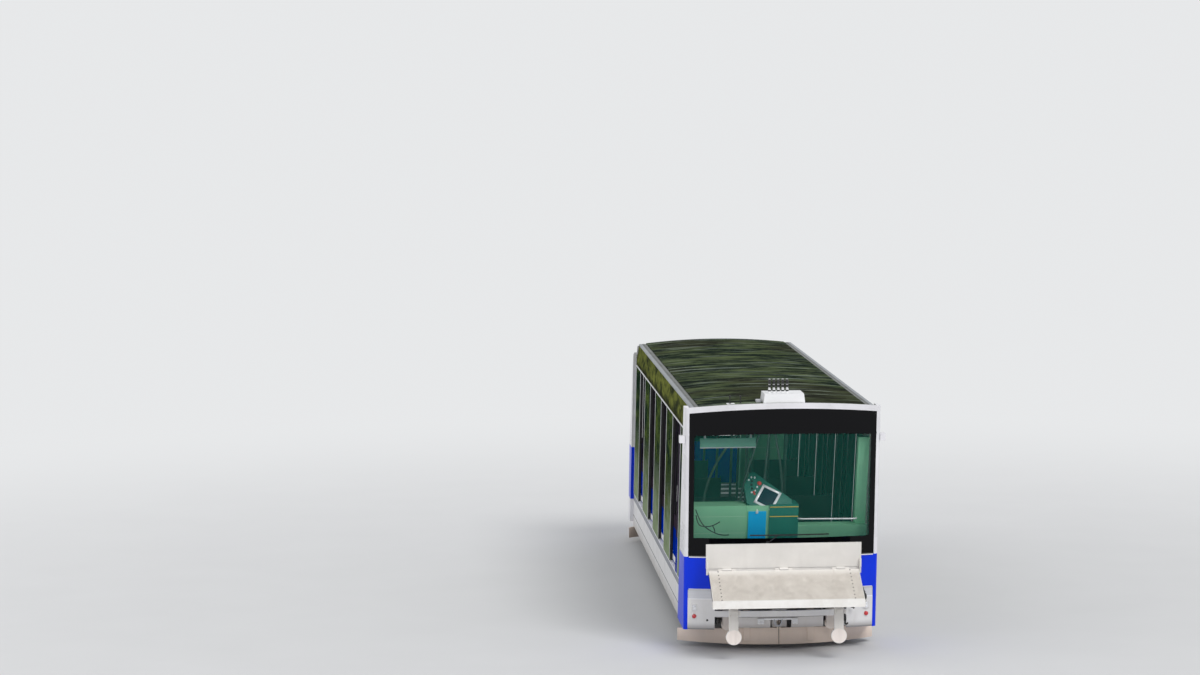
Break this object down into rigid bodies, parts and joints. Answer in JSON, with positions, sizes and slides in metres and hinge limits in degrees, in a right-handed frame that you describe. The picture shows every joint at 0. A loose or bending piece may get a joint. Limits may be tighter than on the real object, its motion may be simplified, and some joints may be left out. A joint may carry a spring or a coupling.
{
  "type": "funicular car",
  "caption": "Stepped funicular railway car with glazed cabin, sliding doors along both sides, two bogies and a folding goods tray on its uphill end.",
  "frame": {"origin": "centre of the car's plan outline, at the lowest points of the wheel flanges", "axes": "+Z square to the rails, +Y along the track down the slope, +X across the car; the cabin's posts are plumb when the frame is turned by 20 degrees about X onto its slope"},
  "size_m": [2.53, 10.8225, 3.44],
  "materials": {
    "body_blue": "gloss",
    "chassis": "matt",
    "clear_glass": "polished",
    "dark_frame": "satin",
    "dark_glass": "polished",
    "floor": "matt",
    "frame_white": "satin",
    "interior_green": "satin",
    "lamp_red": "gloss",
    "pole": "polished",
    "roof_glass": "polished",
    "rubber": "matt",
    "seat": "matt",
    "silver": "satin",
    "steel": "worn",
    "tray_white": "worn satin"
  },
  "bodies": {
    "car": {"blank_panels": "dark_frame", "cantrails": "silver", "door_posts": "frame_white", "downhill_apron": "body_blue", "downhill_buffers": "rubber", "downhill_bumpers": "silver", "downhill_console": "interior_green", "downhill_end_frame": "frame_white", "downhill_guard": "silver", "downhill_lamps": "lamp_red", "downhill_windscreen": "clear_glass", "grab_poles": "pole", "haul_rope_anchor": "steel", "lower_rope_anchor": "steel", "roof_box": "frame_white", "roof_frame": "silver", "roof_glass": "roof_glass", "seats": "seat", "side_windows": "dark_glass", "sills": "silver", "skirts": "silver", "stepped_floor": "floor", "tray_board": "tray_white", "underframe": "chassis", "uphill_apron": "body_blue", "uphill_buffers": "rubber", "uphill_bumpers": "silver", "uphill_console": "interior_green", "uphill_end_frame": "frame_white", "uphill_guard": "silver", "uphill_lamps": "lamp_red", "uphill_lining": "interior_green", "uphill_windscreen": "clear_glass", "visor": "frame_white", "visor_glass": "roof_glass"},
    "uphill_bogie": {"uphill_bogie_frame": "chassis", "uphill_rail_brakes": "steel"},
    "downhill_bogie": {"downhill_bogie_frame": "chassis", "downhill_rail_brakes": "steel"},
    "tray": {"tray_deck": "tray_white", "tray_arms": "tray_white"},
    "uphill_front_wheelset": {"uphill_front_axle": "steel", "uphill_front_wheels": "steel"},
    "uphill_rear_wheelset": {"uphill_rear_axle": "steel", "uphill_rear_wheels": "steel"},
    "downhill_front_wheelset": {"downhill_front_axle": "steel", "downhill_front_wheels": "steel"},
    "downhill_rear_wheelset": {"downhill_rear_axle": "steel", "downhill_rear_wheels": "steel"},
    "left_doors_uphill": {"left_leaves_uphill": "dark_frame", "left_leaf_glass_uphill": "dark_glass"},
    "left_doors_downhill": {"left_leaves_downhill": "dark_frame", "left_leaf_glass_downhill": "dark_glass"},
    "right_doors_uphill": {"right_leaves_uphill": "dark_frame", "right_leaf_glass_uphill": "dark_glass"},
    "right_doors_downhill": {"right_leaves_downhill": "dark_frame", "right_leaf_glass_downhill": "dark_glass"}
  },
  "joints": [
    {"name": "uphill_bogie_pivot", "type": "hinge", "parent": "car", "child": "uphill_bogie", "pos_m": [0, -2.55833, 0.56], "axis": [0, 0, 1], "range_deg": [-4, 4]},
    {"name": "uphill_front_wheels", "type": "hinge", "parent": "uphill_bogie", "child": "uphill_front_wheelset", "pos_m": [0, -3.30833, 0.27], "axis": [1, 0, 0], "continuous": true},
    {"name": "uphill_rear_wheels", "type": "hinge", "parent": "uphill_bogie", "child": "uphill_rear_wheelset", "pos_m": [0, -1.80833, 0.27], "axis": [1, 0, 0], "continuous": true},
    {"name": "downhill_bogie_pivot", "type": "hinge", "parent": "car", "child": "downhill_bogie", "pos_m": [0, 3.34167, 0.56], "axis": [0, 0, 1], "range_deg": [-4, 4]},
    {"name": "downhill_front_wheels", "type": "hinge", "parent": "downhill_bogie", "child": "downhill_front_wheelset", "pos_m": [0, 2.59167, 0.27], "axis": [1, 0, 0], "continuous": true},
    {"name": "downhill_rear_wheels", "type": "hinge", "parent": "downhill_bogie", "child": "downhill_rear_wheelset", "pos_m": [0, 4.09167, 0.27], "axis": [1, 0, 0], "continuous": true},
    {"name": "left_doors_open", "type": "slide", "parent": "car", "child": "left_doors_uphill", "axis": [0, -1, 0], "range_m": [0, 0.43]},
    {"name": "left_doors_open_downhill", "type": "slide", "parent": "car", "child": "left_doors_downhill", "axis": [0, 1, 0], "range_m": [0, 0.43]},
    {"name": "right_doors_open", "type": "slide", "parent": "car", "child": "right_doors_uphill", "axis": [0, -1, 0], "range_m": [0, 0.43]},
    {"name": "right_doors_open_downhill", "type": "slide", "parent": "car", "child": "right_doors_downhill", "axis": [0, 1, 0], "range_m": [0, 0.43]},
    {"name": "tray_fold", "type": "hinge", "parent": "car", "child": "tray", "pos_m": [0, -4.83983, 1.099], "axis": [-1, 0, 0], "range_deg": [0, 103]}
  ],
  "couplings": [
    {"joint": "left_doors_open_downhill", "follows": "left_doors_open", "ratio": 1},
    {"joint": "right_doors_open_downhill", "follows": "right_doors_open", "ratio": 1}
  ]
}
